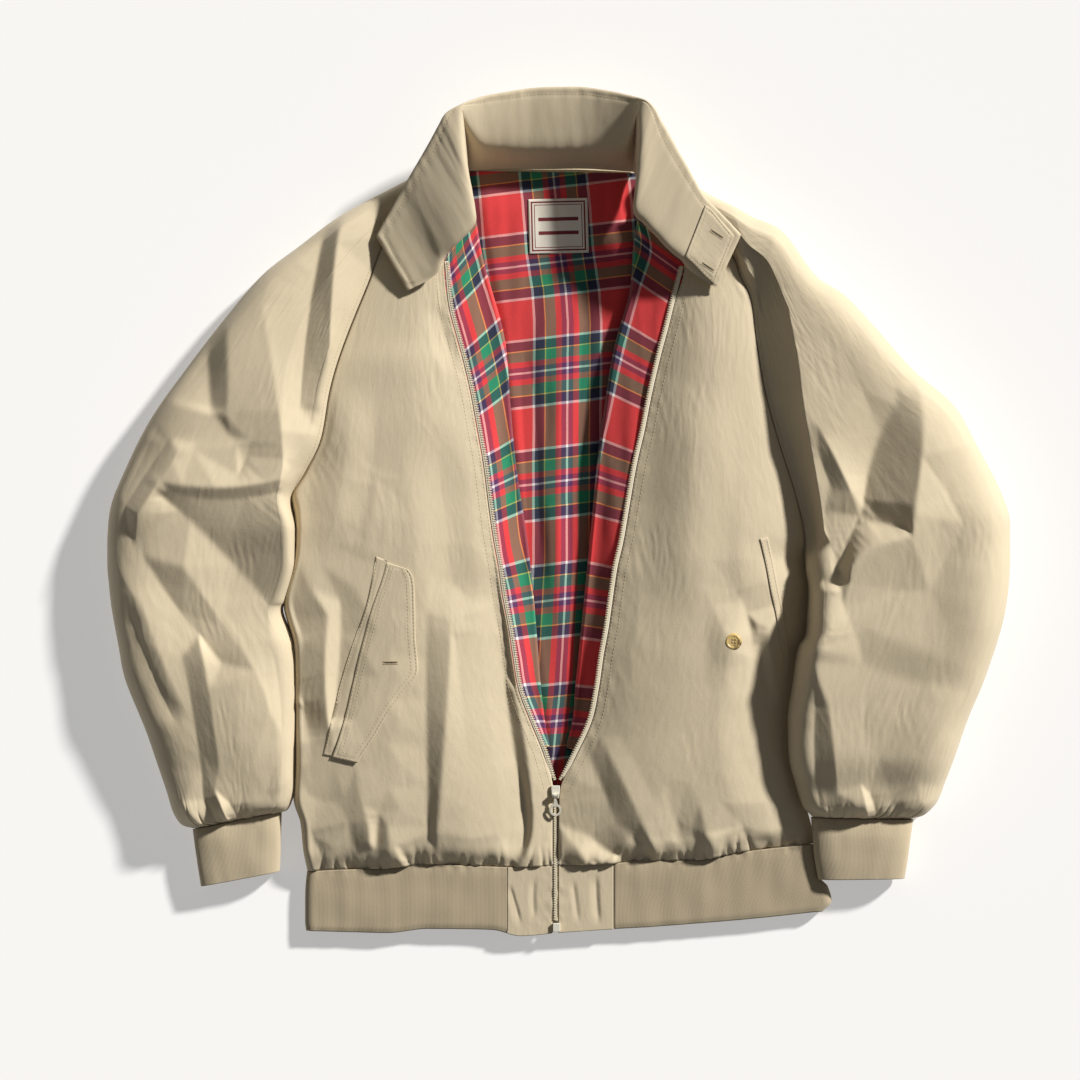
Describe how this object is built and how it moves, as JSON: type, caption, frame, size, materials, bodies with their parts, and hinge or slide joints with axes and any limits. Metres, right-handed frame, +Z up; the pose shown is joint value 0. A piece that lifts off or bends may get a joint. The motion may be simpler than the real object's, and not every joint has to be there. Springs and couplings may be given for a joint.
{
  "type": "harrington jacket",
  "caption": "Casual zip jacket laid out flat, unzipped most of the way: raglan sleeves, buttoning stand collar, rib cuffs and hem, flap pocket and tartan lining.",
  "frame": {"origin": "centre of the laid garment's box, on the surface it lies on", "axes": "+Y from the hem to the collar, +X to the right as seen from above, +Z up from the surface to the front of the garment"},
  "size_m": [0.7856, 0.7374, 0.0645],
  "materials": {
    "cotton": "washed cotton and nylon, slightly crinkled, faint sheen",
    "rib": "fine smooth rib knit",
    "tartan": "brushed cotton, woven tartan",
    "label": "woven, matt",
    "zip_tape": "woven tape with pale brass teeth",
    "brass": "pale, polished",
    "horn": "mottled horn, polished"
  },
  "bodies": {
    "jacket": {"back": "cotton", "sleeve_left": "cotton", "sleeve_right": "cotton", "front_left": "cotton", "front_right": "cotton", "cuff_left": "rib", "cuff_right": "rib", "hem_band": "rib", "placket_left": "cotton", "placket_right": "cotton", "collar": "cotton", "collar_tab": "cotton", "lining_left_upper": "tartan", "lining_left_lower": "tartan", "lining_right": "tartan", "lining_back": "tartan", "label": "label", "pocket_flap_left": "cotton", "pocket_welt_left": "cotton", "pocket_welt_right": "cotton", "zip_left": "zip_tape", "zip_right": "zip_tape", "zip_chain": "zip_tape", "slider": "brass", "zip_retainer": "brass", "button": "horn"},
    "pull_tab": {"zip_pull": "brass"}
  },
  "joints": [
    {"name": "pull_tab_hinge", "type": "hinge", "parent": "jacket", "child": "pull_tab", "pos_m": [-0.0026, -0.2453, 0.0223], "axis": [-1, 0, 0], "range_deg": [0, 170]}
  ]
}
